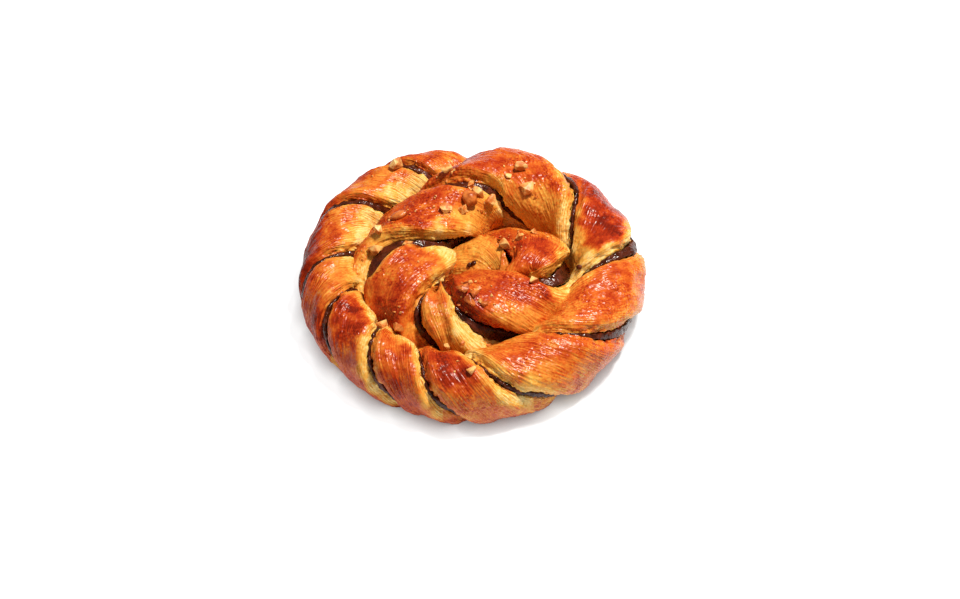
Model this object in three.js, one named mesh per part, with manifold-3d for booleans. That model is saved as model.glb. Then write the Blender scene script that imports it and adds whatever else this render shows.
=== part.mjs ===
// Chocolate knot: a rope of two laminated dough strands with a ribbon of chocolate
// filling between them, twisted and then coiled inwards until its end fills the middle.
// Chopped hazelnuts are baked onto the crust.
// Millimetres, +Z up. The pastry rests on Z = 0 and the origin is under its middle.

import * as THREE from 'three';
import { mergeVertices } from 'three/addons/utils/BufferGeometryUtils.js';
import Module from 'manifold-3d';

const wasm = await Module();
wasm.setup();

// The rope's middle line, from the tail that is tucked under at the back, once round the
// outside, and in to the centre. A band of filling crosses the crest at each whole turn.
// Columns: half turns of twist, compass angle, distance from the middle, height,
// half width and half height of the rope.
const ROUTE = [
  [0, 84, 44.0, 7.0, 7.5, 6.5],
  [0.5, 101, 47.6, 9.0, 8.0, 8.6],
  [1, 116, 47.5, 9.7, 9.0, 9.4],
  [2, 146, 46.8, 10.0, 9.5, 10.0],
  [3, 177, 45.8, 10.0, 9.5, 10.0],
  [4, 199, 45.5, 10.0, 9.5, 10.0],
  [5, 225, 45.0, 10.0, 9.5, 10.0],
  [6, 248, 44.5, 10.0, 9.5, 10.0],
  [7, 272, 44.0, 10.5, 10.5, 10.5],
  [8, 311, 42.0, 11.0, 11.5, 11.0],
  [9, 358, 42.5, 11.5, 11.5, 11.5],
  [10, 398, 41.5, 12.5, 10.8, 12.0],
  [10.5, 434, 39.5, 13.5, 11.5, 12.2],
  [11, 457, 31.0, 13.3, 12.0, 12.0],
  [12, 527, 23.0, 12.5, 15.5, 12.0],
  [12.5, 554, 20.7, 12.6, 17.8, 11.8],
  [13, 585, 22.8, 12.0, 13.0, 11.5],
  [14, 609, 19.8, 12.3, 14.5, 11.7],
  [14.5, 650, 17.2, 12.6, 15.0, 12.0],
  [15, 695, 22.6, 12.4, 12.5, 11.0],
  [15.5, 715.6, 19.6, 13.0, 13.5, 12.0],
  [15.75, 732.5, 16.2, 12.4, 13.0, 11.8],
  [16, 757.4, 10.7, 10.6, 11.5, 10.2],
  [16.5, 836.6, 4.5, 8.2, 10.0, 8.5],
  [17, 908, 7.1, 6.5, 9.0, 7.0],
];
const LAST_TURN = ROUTE[ROUTE.length - 1][0];

// The coil isn't quite centred on its own compass, so the finished pastry is moved by this.
const MIDDLE = new THREE.Vector2(-0.8, -0.4);

// The twist runs faster where the filling shows on top than where a strand lies on top.
const TWIST_BUNCHING = 0.3;

// The rope's section, as fractions of its half width and half height.
const SHOULDER = 0.06;
const OUTER_GROOVE = { depth: 0.15, spread: 0.3 };
const INNER_GROOVE = { depth: 0.3, spread: 0.45 };
const LAYER_STEP = 0.024;
const UNDERSIDE_SWELL = 1.2;

// The grooves grow deeper where the coil turns in, and fade out towards its end.
const GROOVE_CHANGES = [10, 11.5];
const GROOVE_ENDS = [15.4, 16];
// On the inside of a bend the rope is squeezed to this share of the bend's radius.
const TIGHTEST_BEND = 0.86;

// Angles round one strand, from the middle of its back to the filling. The dough's layers
// end in steps on the flanks, from FIRST_LAYER on.
const SECTION_ANGLES = [0, 24, 43, 58, 73];
const FIRST_LAYER = 2;

// The ribbon of filling: half thickness in its middle and at its swollen edges.
const RIBBON_THIN = 0.04;
const RIBBON_EDGE_OUTER = 0.12;
const RIBBON_EDGE_INNER = 0.17;
const RIBBON_FROM = 0.5;
const RIBBON_TO = 15.75;

// Beyond the ribbon the strands are pinched together into a slightly slimmer nose. They
// reach a little into it, and it starts just clear of the ribbon.
const PINCH = 0.97;
const PINCH_OVERLAP = 0.1;
const PINCH_CLEARANCE = 0.02;

// Sections are evenly spaced in twist. Each run of the rope between two joints is swept by
// itself, because the coil lies against itself.
const SECTIONS_PER_TURN = 7;
const RUN_ENDS = [6, 12, 14, 15];
const END_ROUNDING = 0.5;
const END_SIZE = 0.15;

// The ribbon lies clear of the dough by this, and the strands' own hollow is a little wider.
const FIT_GAP = 0.3;
const HOLLOW_GAP = 0.45;

// Where the coil's turns have grown together underneath, they close the gaps between them.
const HEART_RADIUS = 38;
const HEART_HEIGHT = 8;
const HEART_SHOULDER = { radius: 0.85, height: 0.6 };
const HEART_SIDES = 24;

// A block that is larger than the pastry, for cutting off what is below a height.
const CUT_SIZE = 200;

// Corners that lie closer together than this are one corner.
const WELD_DISTANCE = 1e-5;

const DOUGH_LOOK = { color: '#b5602a', roughness: 0.45 };
const CHOCOLATE_LOOK = { color: '#2b1512', roughness: 0.3 };

// Chopped hazelnuts on the crust: place from above, length, width, height and heading.
const NUTS = [
  [-26.0, 41.0, 5.2, 4.2, 4.6, 20],
  [-8.5, 36.0, 4.0, 3.6, 3.0, 0],
  [-2.0, 28.0, 3.2, 2.8, 4.4, 40],
  [0.8, 25.6, 5.6, 3.0, 3.2, 150],
  [4.4, 24.6, 4.0, 3.4, 3.4, 60],
  [-2.2, 22.8, 5.6, 5.0, 4.4, 110],
  [-9.6, 17.4, 4.0, 3.6, 3.0, 30],
  [-4.3, 18.6, 3.2, 3.0, 2.8, 80],
  [-24.0, 14.6, 5.8, 3.6, 2.6, 10],
  [-30.2, 9.4, 3.2, 3.4, 3.6, 50],
  [-32.3, 5.0, 4.4, 4.6, 4.2, 70],
  [-25.2, 3.4, 4.4, 3.4, 2.4, 25],
  [-21.2, 2.6, 4.6, 3.2, 2.2, 160],
  [-28.4, -25.1, 4.0, 3.8, 3.4, 45],
  [-23.5, -26.2, 4.4, 3.8, 3.6, 15],
  [14.8, 35.1, 3.6, 4.4, 3.2, 75],
  [17.1, 28.2, 4.8, 4.2, 2.6, 20],
  [9.7, 4.0, 4.2, 3.8, 3.6, 120],
  [14.2, 4.8, 2.8, 2.6, 2.2, 0],
  [19.0, 10.3, 3.4, 2.8, 2.2, 35],
  [-3.2, -17.4, 4.4, 3.4, 3.0, 140],
  [0.3, -19.4, 3.8, 3.0, 2.0, 20],
  [-1.4, -21.6, 4.4, 3.2, 2.2, 100],
  [-1.1, -47.2, 3.2, 2.8, 2.0, 60],
  [18.3, -13.3, 3.4, 2.6, 2.0, 10],
];
const NUT_SUNK = 0.2;
const NUT_ROUGHNESS = 0.16;
const NUT_SEED = 11;

const degrees = THREE.MathUtils.degToRad;
const lerp = THREE.MathUtils.lerp;

// Knots of the middle line as x, y, z, half width and half height.
const KNOTS = ROUTE.map(([turn, angle, reach, height, halfWidth, halfHeight]) => ({
  turn,
  values: [
    reach * Math.cos(degrees(angle)),
    reach * Math.sin(degrees(angle)),
    height,
    halfWidth,
    halfHeight,
  ],
}));

function slopeAt(index) {
  const before = KNOTS[Math.max(index - 1, 0)];
  const after = KNOTS[Math.min(index + 1, KNOTS.length - 1)];
  return after.values.map((v, k) => (v - before.values[k]) / (after.turn - before.turn));
}

// A smooth curve through the knots.
function ropeAt(turn) {
  const t = THREE.MathUtils.clamp(turn, 0, LAST_TURN);
  const i = Math.min(KNOTS.findLastIndex((knot) => knot.turn <= t), KNOTS.length - 2);
  const span = KNOTS[i + 1].turn - KNOTS[i].turn;
  const s = (t - KNOTS[i].turn) / span;
  const leave = slopeAt(i);
  const arrive = slopeAt(i + 1);
  return KNOTS[i].values.map((v, k) => (
    (2 * s ** 3 - 3 * s ** 2 + 1) * v
    + (s ** 3 - 2 * s ** 2 + s) * span * leave[k]
    + (-2 * s ** 3 + 3 * s ** 2) * KNOTS[i + 1].values[k]
    + (s ** 3 - s ** 2) * span * arrive[k]
  ));
}

function pointAt(turn) {
  return new THREE.Vector3(...ropeAt(turn).slice(0, 3));
}

// Level direction of travel.
function headingAt(turn) {
  const reach = 0.02;
  const ahead = pointAt(Math.min(turn + reach, LAST_TURN));
  return ahead.sub(pointAt(Math.max(turn - reach, 0))).setZ(0).normalize();
}

// Radius of the bend in plan, always a turn to the left.
function bendRadius(turn) {
  const reach = 0.2;
  const leastSwing = 0.01;
  const from = Math.max(turn - reach, 0);
  const to = Math.min(turn + reach, LAST_TURN);
  const a = headingAt(from);
  const b = headingAt(to);
  const swing = Math.atan2(a.x * b.y - a.y * b.x, a.dot(b));
  const travel = pointAt(from).distanceTo(pointAt(to));
  return travel / Math.max(swing, leastSwing);
}

function twistAt(turn) {
  return Math.PI * (turn + TWIST_BUNCHING * Math.sin(2 * Math.PI * turn) / (2 * Math.PI));
}

// Both ends of the rope close in a rounded nose.
function endScale(turn) {
  const left = Math.min(turn, LAST_TURN - turn) / END_ROUNDING;
  const t = THREE.MathUtils.clamp(left, 0, 1);
  return lerp(END_SIZE, 1, Math.sqrt(1 - (1 - t) ** 2));
}

// Places a point of the section: along is in the ribbon's plane, across is away from it.
function placer(turn) {
  const [x, y, z, halfWidth, halfHeight] = ropeAt(turn);
  const heading = headingAt(turn);
  const outward = new THREE.Vector3(heading.y, -heading.x, 0);
  const squeezed = Math.min(halfWidth, TIGHTEST_BEND * bendRadius(turn));
  const twist = twistAt(turn);
  const place = (along, across) => {
    const level = along * Math.sin(twist) + across * Math.cos(twist);
    const upright = along * Math.cos(twist) - across * Math.sin(twist);
    const width = level > 0 ? halfWidth : squeezed;
    const height = upright > 0 ? halfHeight : halfHeight * UNDERSIDE_SWELL;
    const point = new THREE.Vector3(x, y, z).addScaledVector(outward, level * width);
    return point.setZ(z + upright * height);
  };
  return { place, smallest: Math.min(squeezed, halfHeight) };
}

function blendInner(turn, outer, inner) {
  return lerp(outer, inner, THREE.MathUtils.smoothstep(turn, ...GROOVE_CHANGES));
}

// How far the dough reaches at an angle from the middle of a strand's back.
function doughReach(turn, angle, layer) {
  const flank = Math.abs(angle);
  const fullDepth = blendInner(turn, OUTER_GROOVE.depth, INNER_GROOVE.depth);
  const depth = fullDepth * (1 - THREE.MathUtils.smoothstep(turn, ...GROOVE_ENDS));
  const spread = blendInner(turn, OUTER_GROOVE.spread, INNER_GROOVE.spread);
  const groove = depth * Math.exp(-(((Math.PI / 2 - flank) / spread) ** 2));
  const step = layer >= FIRST_LAYER ? LAYER_STEP * (layer % 2 ? 1 : -1) : 0;
  return 1 + SHOULDER * Math.sin(2 * flank) ** 2 - groove + step;
}

// How deep the groove goes, which is where the ribbon ends too.
function grooveReach(turn) {
  return doughReach(turn, Math.PI / 2, 0);
}

function ribbonEdge(turn) {
  return blendInner(turn, RIBBON_EDGE_OUTER, RIBBON_EDGE_INNER);
}

// The back of one strand, from one groove to the other, as along and across.
function strandBack(turn, side, scale) {
  const last = SECTION_ANGLES.length - 1;
  const back = [];
  for (let k = -last; k <= last; k += 1) {
    const angle = Math.sign(k) * degrees(SECTION_ANGLES[Math.abs(k)]);
    const reach = doughReach(turn, angle, Math.abs(k)) * scale;
    back.push([-side * reach * Math.sin(angle), side * reach * Math.cos(angle)]);
  }
  return back;
}

// Outline of one strand, hollowed where it lies against the ribbon. Corners that face the
// ribbon keep how far along it they are.
function strandSection(turn, side) {
  const { place, smallest } = placer(turn);
  const gap = HOLLOW_GAP / smallest;
  const groove = grooveReach(turn);
  const lip = side * (ribbonEdge(turn) + gap);
  const inside = [
    [-side * groove, lip],
    [0, side * (RIBBON_THIN + gap)],
    [side * groove, lip],
  ];
  return [
    ...strandBack(turn, side, 1).map(([along, across]) => ({ point: place(along, across) })),
    ...inside.map(([along, across]) => ({ point: place(along, across), along })),
  ];
}

// Outline of the rope where the strands are pinched together beyond the ribbon.
function pinchedSection(turn) {
  const { place } = placer(turn);
  const scale = endScale(turn) * PINCH;
  const groove = grooveReach(turn) * scale;
  const outline = [
    ...strandBack(turn, 1, scale),
    [-groove, 0],
    ...strandBack(turn, -1, scale),
    [groove, 0],
  ];
  return outline.map(([along, across]) => ({ point: place(along, across) }));
}

// Outline of the ribbon, thin in the middle and swollen where it is squeezed out.
function ribbonSection(turn, growth) {
  const { place, smallest } = placer(turn);
  const grown = growth / smallest;
  const reach = grooveReach(turn) + grown;
  const edge = ribbonEdge(turn) + grown;
  const thin = RIBBON_THIN + grown;
  const outline = [[reach, -edge], [reach, edge], [0, thin], [-reach, edge], [-reach, -edge], [0, -thin]];
  return outline.map(([along, across]) => ({ point: place(along, across), along }));
}

// The turn at which the twist has reached an angle.
function turnAt(twist) {
  const passes = 20;
  let turn = twist / Math.PI;
  for (let pass = 0; pass < passes; pass += 1) {
    turn = (twist - twistAt(turn)) / Math.PI + turn;
  }
  return turn;
}

// Turns at an even spacing in twist, with both ends.
function stopsBetween(from, to) {
  const first = twistAt(from) / Math.PI * SECTIONS_PER_TURN;
  const last = twistAt(to) / Math.PI * SECTIONS_PER_TURN;
  const nearest = 0.3;
  const stops = [from];
  for (let k = Math.ceil(first + nearest); k <= last - nearest; k += 1) {
    stops.push(turnAt(k * Math.PI / SECTIONS_PER_TURN));
  }
  return [...stops, to];
}

// Which way a four-sided face is split. Two surfaces that lie against each other along the
// ribbon are split alike, and the others along their shorter diagonal.
function splitsFromFirst(a, b, afterA, afterB) {
  if (a.along !== undefined && b.along !== undefined) return Math.abs(a.along) > Math.abs(b.along);
  return a.point.distanceTo(afterB.point) < b.point.distanceTo(afterA.point);
}

// A closed solid through a run of sections that have the same number of corners.
function sweep(sections) {
  const count = sections[0].length;
  const corners = sections.flat();
  const points = corners.map((corner) => corner.point);
  const faces = [];
  for (let s = 0; s < sections.length - 1; s += 1) {
    for (let k = 0; k < count; k += 1) {
      const a = s * count + k;
      const b = s * count + (k + 1) % count;
      if (splitsFromFirst(corners[a], corners[b], corners[a + count], corners[b + count])) {
        faces.push(a, b, b + count, a, b + count, a + count);
      } else {
        faces.push(a, b, a + count, b, b + count, a + count);
      }
    }
  }
  const cap = (first, flipped) => {
    const middle = points.length;
    const sum = new THREE.Vector3();
    for (let k = 0; k < count; k += 1) sum.add(points[first + k]);
    points.push(sum.divideScalar(count));
    for (let k = 0; k < count; k += 1) {
      const next = first + (k + 1) % count;
      faces.push(middle, flipped ? next : first + k, flipped ? first + k : next);
    }
  };
  cap(0, true);
  cap((sections.length - 1) * count, false);
  return solidFrom(new THREE.BufferGeometry().setFromPoints(points).setIndex(faces));
}

function solidFrom(geometry) {
  const bare = new THREE.BufferGeometry();
  bare.setAttribute('position', geometry.getAttribute('position'));
  if (geometry.index) bare.setIndex(geometry.index);
  const merged = mergeVertices(bare, WELD_DISTANCE);
  const mesh = new wasm.Mesh({
    numProp: 3,
    vertProperties: Float32Array.from(merged.getAttribute('position').array),
    triVerts: Uint32Array.from(merged.index.array),
  });
  return new wasm.Manifold(mesh);
}

function geometryFrom(solid) {
  const mesh = solid.getMesh();
  const geometry = new THREE.BufferGeometry();
  geometry.setAttribute('position', new THREE.BufferAttribute(mesh.vertProperties, 3));
  geometry.setIndex(new THREE.BufferAttribute(mesh.triVerts, 1));
  geometry.computeVertexNormals();
  return geometry;
}

function sweepBetween(from, to, section) {
  return sweep(stopsBetween(from, to).map(section));
}

function joined(solids) {
  return solids.reduce((whole, solid) => whole.add(solid));
}

function belowHeight(height) {
  const block = new THREE.BoxGeometry(CUT_SIZE, CUT_SIZE, CUT_SIZE);
  block.translate(0, 0, height - CUT_SIZE / 2);
  return solidFrom(block);
}

function heart() {
  const profile = [
    new THREE.Vector2(0, 0),
    new THREE.Vector2(HEART_RADIUS, 0),
    new THREE.Vector2(HEART_RADIUS, HEART_HEIGHT * HEART_SHOULDER.height),
    new THREE.Vector2(HEART_RADIUS * HEART_SHOULDER.radius, HEART_HEIGHT),
    new THREE.Vector2(0, HEART_HEIGHT),
  ];
  const lathe = new THREE.LatheGeometry(profile, HEART_SIDES);
  return solidFrom(lathe.rotateX(Math.PI / 2));
}

function largestPiece(solid) {
  const pieces = solid.decompose();
  return pieces.reduce((best, piece) => (piece.volume() > best.volume() ? piece : best));
}

function part(name, solid, look) {
  const material = new THREE.MeshStandardMaterial({ ...look, metalness: 0 });
  const mesh = new THREE.Mesh(geometryFrom(solid), material);
  mesh.name = name;
  return mesh;
}

// A repeatable run of numbers from 0 to 1.
function seededRandom(seed) {
  const multiplier = 16807;
  const modulus = 2 ** 31 - 1;
  let state = seed;
  return () => {
    state = (state * multiplier) % modulus;
    return state / modulus;
  };
}

// One chip of nut: a lump with uneven corners, set on the crust and leaning with it.
function chip([x, y, length, width, height, heading], crust, random) {
  const above = new THREE.Raycaster(new THREE.Vector3(x, y, CUT_SIZE), new THREE.Vector3(0, 0, -1));
  const [{ point, face }] = above.intersectObject(crust);
  const ball = new THREE.IcosahedronGeometry(1).deleteAttribute('normal').deleteAttribute('uv');
  const lump = mergeVertices(ball);
  const corners = lump.getAttribute('position');
  for (let k = 0; k < corners.count; k += 1) {
    const swell = 1 + NUT_ROUGHNESS * (2 * random() - 1);
    corners.setXYZ(k, corners.getX(k) * swell, corners.getY(k) * swell, corners.getZ(k) * swell);
  }
  lump.scale(length / 2, width / 2, height / 2);
  lump.rotateZ(degrees(heading));
  const lean = new THREE.Quaternion().setFromUnitVectors(new THREE.Vector3(0, 0, 1), face.normal);
  lump.applyQuaternion(lean);
  const raised = point.addScaledVector(face.normal, height * (0.5 - NUT_SUNK));
  lump.translate(raised.x, raised.y, raised.z);
  return solidFrom(lump);
}

// A strand is hollowed for the ribbon that it lies on. Where another turn of the coil, the
// heart or a nut presses over the ribbon, that is cut clear of it at the end.
function runsBetween(from, to) {
  const ends = [from, ...RUN_ENDS, to];
  return ends.slice(1).map((end, k) => [ends[k], end]);
}

function ribbonRuns(growth) {
  return runsBetween(RIBBON_FROM, RIBBON_TO).map(([from, to]) => (
    sweepBetween(from, to, (turn) => ribbonSection(turn, growth))
  ));
}

function strandRuns(side) {
  return runsBetween(RIBBON_FROM - PINCH_OVERLAP, RIBBON_TO + PINCH_OVERLAP).map(([from, to]) => (
    sweepBetween(from, to, (turn) => strandSection(turn, side))
  ));
}

const tail = sweepBetween(0, RIBBON_FROM - PINCH_CLEARANCE, pinchedSection);
const tip = sweepBetween(RIBBON_TO + PINCH_CLEARANCE, LAST_TURN, pinchedSection);
const slot = joined(ribbonRuns(FIT_GAP));
const strands = [...strandRuns(1), ...strandRuns(-1)];
const coil = joined([...strands, tail, tip, heart()]).subtract(belowHeight(0));
const crust = new THREE.Mesh(geometryFrom(coil));
const random = seededRandom(NUT_SEED);
const nuts = joined(NUTS.map((nut) => chip(nut, crust, random)));
const dough = largestPiece(coil.add(nuts).subtract(slot));
const ribbon = joined(ribbonRuns(0)).subtract(belowHeight(FIT_GAP)).subtract(dough);
const chocolate = largestPiece(ribbon);

const pastry = new THREE.Group();
pastry.add(part('dough', dough, DOUGH_LOOK));
pastry.add(part('chocolate', chocolate, CHOCOLATE_LOOK));
pastry.position.set(-MIDDLE.x, -MIDDLE.y, 0);

export default pastry;
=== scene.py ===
# %% [markdown]
# # A chocolate knot pastry
# The real one starts as a sheet of laminated dough, folded over chocolate filling and cut into a strip. The
# strip is slit, twisted like a rope and coiled up on itself, then glazed with egg, sprinkled with chopped
# hazelnuts and baked. The knot could be sculpted as one lump. It is swept here instead, the way that it is
# made: one middle line, two strands of dough and a ribbon of filling that wind round it. Every lobe and
# every dark band then falls into place.

# %% Load the fixed frame
import math
import random

import bmesh
import bpy
import numpy as np
from mathutils import Matrix, Vector, noise
from mathutils.bvhtree import BVHTree


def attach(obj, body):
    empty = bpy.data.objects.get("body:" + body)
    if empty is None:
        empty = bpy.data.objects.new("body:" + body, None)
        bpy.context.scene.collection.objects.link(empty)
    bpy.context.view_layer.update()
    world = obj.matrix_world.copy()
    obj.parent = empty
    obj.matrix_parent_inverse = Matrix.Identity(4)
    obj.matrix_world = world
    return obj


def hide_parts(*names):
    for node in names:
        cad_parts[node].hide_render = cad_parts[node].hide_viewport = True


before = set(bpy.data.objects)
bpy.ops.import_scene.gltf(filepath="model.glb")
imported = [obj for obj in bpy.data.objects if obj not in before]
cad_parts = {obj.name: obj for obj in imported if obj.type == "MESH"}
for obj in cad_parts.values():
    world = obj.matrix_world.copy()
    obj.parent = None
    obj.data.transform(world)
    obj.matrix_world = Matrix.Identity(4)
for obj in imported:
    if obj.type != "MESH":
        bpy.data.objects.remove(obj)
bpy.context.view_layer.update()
MM = 0.001

# %% [markdown]
# ## The rope's middle line
# The rope starts with a tail that is tucked under at the back, runs once round the outside and then winds
# in to the centre. Places along it are counted in half turns of twist, because a band of filling crosses
# the crest at each whole one. A Bezier curve object could carry the line, but the twist and the changing
# width are easier to read as a table of knots, with a smooth cubic between them. These are the numbers that
# the solids were made from.

# %% Middle line
# Columns: half turns of twist, compass angle, distance from the middle, height, half width, half height.
ROUTE = np.array([
    [0, 84, 44.0, 7.0, 7.5, 6.5],
    [0.5, 101, 47.6, 9.0, 8.0, 8.6],
    [1, 116, 47.5, 9.7, 9.0, 9.4],
    [2, 146, 46.8, 10.0, 9.5, 10.0],
    [3, 177, 45.8, 10.0, 9.5, 10.0],
    [4, 199, 45.5, 10.0, 9.5, 10.0],
    [5, 225, 45.0, 10.0, 9.5, 10.0],
    [6, 248, 44.5, 10.0, 9.5, 10.0],
    [7, 272, 44.0, 10.5, 10.5, 10.5],
    [8, 311, 42.0, 11.0, 11.5, 11.0],
    [9, 358, 42.5, 11.5, 11.5, 11.5],
    [10, 398, 41.5, 12.5, 10.8, 12.0],
    [10.5, 434, 39.5, 13.5, 11.5, 12.2],
    [11, 457, 31.0, 13.3, 12.0, 12.0],
    [12, 527, 23.0, 12.5, 15.5, 12.0],
    [12.5, 554, 20.7, 12.6, 17.8, 11.8],
    [13, 585, 22.8, 12.0, 13.0, 11.5],
    [14, 609, 19.8, 12.3, 14.5, 11.7],
    [14.5, 650, 17.2, 12.6, 15.0, 12.0],
    [15, 695, 22.6, 12.4, 12.5, 11.0],
    [15.5, 715.6, 19.6, 13.0, 13.5, 12.0],
    [15.75, 732.5, 16.2, 12.4, 13.0, 11.8],
    [16, 757.4, 10.7, 10.6, 11.5, 10.2],
    [16.5, 836.6, 4.5, 8.2, 10.0, 8.5],
    [17, 908, 7.1, 6.5, 9.0, 7.0],
])
LAST_TURN = ROUTE[-1, 0]
MIDDLE = np.array([-0.8, -0.4, 0.0])

knot_turns = ROUTE[:, 0]
knot_angles = np.radians(ROUTE[:, 1])
knot_values = np.column_stack([
    ROUTE[:, 2] * np.cos(knot_angles) - MIDDLE[0],
    ROUTE[:, 2] * np.sin(knot_angles) - MIDDLE[1],
    ROUTE[:, 3:],
])


def knot_slopes():
    """How fast each value changes at a knot, from its two neighbours."""
    before = np.maximum(np.arange(len(ROUTE)) - 1, 0)
    after = np.minimum(np.arange(len(ROUTE)) + 1, len(ROUTE) - 1)
    return (knot_values[after] - knot_values[before]) / (knot_turns[after] - knot_turns[before])[:, None]


slopes = knot_slopes()


def rope_at(turns):
    """Rows of x, y, z, half width and half height in millimetres."""
    turns = np.clip(turns, 0, LAST_TURN - 1e-9)
    i = np.searchsorted(knot_turns, turns, side="right") - 1
    span = (knot_turns[i + 1] - knot_turns[i])[:, None]
    s = (turns - knot_turns[i])[:, None] / span
    return (
        (2 * s**3 - 3 * s**2 + 1) * knot_values[i]
        + (s**3 - 2 * s**2 + s) * span * slopes[i]
        + (-2 * s**3 + 3 * s**2) * knot_values[i + 1]
        + (s**3 - s**2) * span * slopes[i + 1]
    )


def rope_length():
    steps = rope_at(np.linspace(0, LAST_TURN, 2000))[:, :3]
    return np.linalg.norm(np.diff(steps, axis=0), axis=1).sum()


print(f"middle line: {len(ROUTE)} knots, {rope_length():.0f} mm long")

# %% [markdown]
# ## The section
# Cut across, the rope is two half rounds of dough back to back, with the filling between them. The whole
# section turns as it travels. On the inside of a tight bend the dough is squeezed, and underneath it has
# sunk a little on the tray. A point of the section is named by two numbers: how far along the ribbon it
# lies, and how far across, away from it.

# %% Section
TWIST_BUNCHING = 0.3
UNDERSIDE_SWELL = 1.2
TIGHTEST_BEND = 0.86
HEADING_REACH = 0.02
BEND_REACH = 0.2


def twist_at(turns):
    return math.pi * (turns + TWIST_BUNCHING * np.sin(2 * math.pi * turns) / (2 * math.pi))


def heading_at(turns, reach=HEADING_REACH):
    """Level direction of travel, as unit vectors."""
    step = rope_at(np.minimum(turns + reach, LAST_TURN)) - rope_at(np.maximum(turns - reach, 0))
    heading = step[:, :3] * [1, 1, 0]
    return heading / np.linalg.norm(heading, axis=1)[:, None]


def bend_radius(turns):
    start = np.maximum(turns - BEND_REACH, 0)
    end = np.minimum(turns + BEND_REACH, LAST_TURN)
    a = heading_at(start)
    b = heading_at(end)
    swing = np.arctan2(a[:, 0] * b[:, 1] - a[:, 1] * b[:, 0], (a * b).sum(axis=1))
    travel = np.linalg.norm(rope_at(end)[:, :3] - rope_at(start)[:, :3], axis=1)
    return travel / np.maximum(swing, 0.01)


class Sections:
    """The rope's sections at a row of turns. place() puts a point of each section in space."""

    def __init__(self, turns):
        self.turns = turns
        line = rope_at(turns)
        heading = heading_at(turns)
        self.middle = line[:, None, :3]
        self.outward = np.stack([heading[:, 1], -heading[:, 0], 0 * turns], axis=1)[:, None, :]
        self.half_width = line[:, 3:4]
        self.half_height = line[:, 4:5]
        self.squeezed = np.minimum(self.half_width, TIGHTEST_BEND * bend_radius(turns)[:, None])
        self.twist = twist_at(turns)[:, None]
        steps = np.linalg.norm(np.diff(line[:, :3], axis=0), axis=1)
        self.travelled = np.concatenate([[0], np.cumsum(steps)])[:, None]

    def across_rope(self, along, across):
        """The same point as level, from -1 inside the coil to 1 outside it, and upright."""
        level = along * np.sin(self.twist) + across * np.cos(self.twist)
        upright = along * np.cos(self.twist) - across * np.sin(self.twist)
        return level, upright

    def place(self, along, across):
        level, upright = self.across_rope(along, across)
        width = np.where(level > 0, self.half_width, self.squeezed)
        height = np.where(upright > 0, self.half_height, self.half_height * UNDERSIDE_SWELL)
        points = self.middle + self.outward * (level * width)[..., None]
        points[..., 2] += upright * height
        return points


# %% [markdown]
# ## Reading the lobes
# Between two bands one strand lies on top and shows as a lobe. No two lobes are baked alike: the oven
# browns what stands proud and faces out, and what is tucked against the next turn of the coil stays pale.
# On the flanks the knife has opened the layers, and they bake as cream and amber stripes. Painting that by
# hand isn't repeatable, so every lobe has a short row of numbers, and each point of the dough looks up the
# row of the lobe that it lies on.

# %% Lobes
# Columns: how brown the lobe is in its middle, towards the band before and the band after, and towards the
# inside and the outside of the coil (0 raw, 1 burnt), then how strong the stripes are, and how blistered
# the skin is (0 to 1).
LOBES = np.array([
    [0.52, 0.40, 0.50, 0.36, 0.62, 0.9, 0.4],
    [0.44, 0.16, 0.52, 0.06, 0.66, 1.0, 0.2],
    [0.52, 0.26, 0.44, 0.02, 0.84, 1.0, 0.3],
    [0.46, 0.32, 0.42, 0.14, 0.70, 1.0, 0.3],
    [0.72, 0.55, 0.16, 0.14, 0.62, 0.7, 0.5],
    [0.58, 0.46, 0.16, 0.10, 0.60, 1.0, 0.3],
    [0.76, 0.66, 0.28, 0.50, 0.50, 0.7, 0.8],
    [0.52, 0.18, 0.50, 0.32, 0.46, 0.9, 0.7],
    [0.57, 0.42, 0.32, 0.44, 0.48, 0.6, 1.0],
    [0.76, 0.06, 0.56, 0.22, 0.72, 0.5, 0.3],
    [0.62, 0.26, 0.44, 0.30, 0.68, 0.5, 1.0],
    [0.68, 0.34, 0.20, 0.32, 0.58, 0.3, 1.0],
    [0.62, 0.10, 0.42, 0.00, 0.62, 0.4, 0.7],
    [0.50, 0.45, 0.14, 0.40, 0.30, 0.5, 0.4],
    [0.66, 0.80, 0.20, 0.46, 0.34, 0.8, 0.8],
    [0.60, 0.20, 0.62, 0.56, 0.36, 1.0, 0.4],
    [0.28, 0.40, 0.20, 0.34, 0.26, 0.1, 0.6],
])
MIDDLE_BROWN, BEFORE_BROWN, AFTER_BROWN, INSIDE_BROWN, OUTSIDE_BROWN, STRIPES, BLISTERS = range(7)


def smoothstep(value, start, end):
    t = np.clip((value - start) / (end - start), 0, 1)
    return t * t * (3 - 2 * t)


def lobe_values(column, turns, side):
    """A column of LOBES for the lobe that a strand makes near each turn. A strand has every second lobe."""
    first = 0 if side < 0 else 1
    nearest = first + 2 * np.round((turns - 0.5 - first) / 2)
    return LOBES[np.clip(nearest, 0, len(LOBES) - 1).astype(int), column]


def smooth_noise(points, size, seed):
    """Noise from about -1 to 1, with bumps of a size in millimetres."""
    shift = Vector((17.3, 5.1, 9.7)) * seed
    flat = (points / size).reshape(-1, 3).tolist()
    values = [noise.noise(Vector(point) + shift) for point in flat]
    return np.array(values).reshape(points.shape[:-1])


print(f"lobes: {len(LOBES)}, browned from {LOBES[:, 0].min()} to {LOBES[:, 0].max()}")

# %% [markdown]
# ## The strands of dough
# A strand is a grid of points: sections along the rope, and points round each section. The grid is fine
# enough to carry real relief, so the layers' edges, blisters and lumps are moved vertices and not only a
# bump in the shader. That keeps them in an exported mesh, and they catch the light properly at the outline.

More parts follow.
